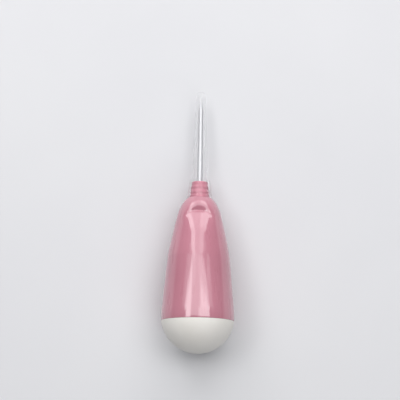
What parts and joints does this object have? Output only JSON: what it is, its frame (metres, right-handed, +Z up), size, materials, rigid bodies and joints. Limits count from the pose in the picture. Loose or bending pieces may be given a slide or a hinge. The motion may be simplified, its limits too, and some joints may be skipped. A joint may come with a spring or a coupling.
{
  "type": "craft awl",
  "caption": "Hand awl with a tapered steel needle, ringed neck, drop-shaped grip with finger dimples, half-round palm end and a clear push-on point protector.",
  "frame": {"origin": "on the surface the awl lies on, below the middle of its length and width", "axes": "+Y along the tool towards the point, +Z up from the surface it lies on, +X to the right when seen from the palm end"},
  "size_m": [0.0338, 0.1229, 0.0339],
  "materials": {
    "polished_steel": "polished",
    "neck_pink": "semi-gloss",
    "handle_pink": "gloss",
    "plug_white": "matte",
    "palm_ivory": "satin",
    "clear_cap": "clear gloss"
  },
  "bodies": {
    "handle": {"handle_shell": "handle_pink", "needle_holder": "neck_pink", "needle": "polished_steel", "end_plug": "plug_white", "palm_cap": "palm_ivory"},
    "protector": {"point_protector": "clear_cap"}
  },
  "joints": [
    {"name": "protector_slide", "type": "slide", "parent": "handle", "child": "protector", "axis": [0, 0.9957, -0.0929], "range_m": [0, 0.05]}
  ]
}
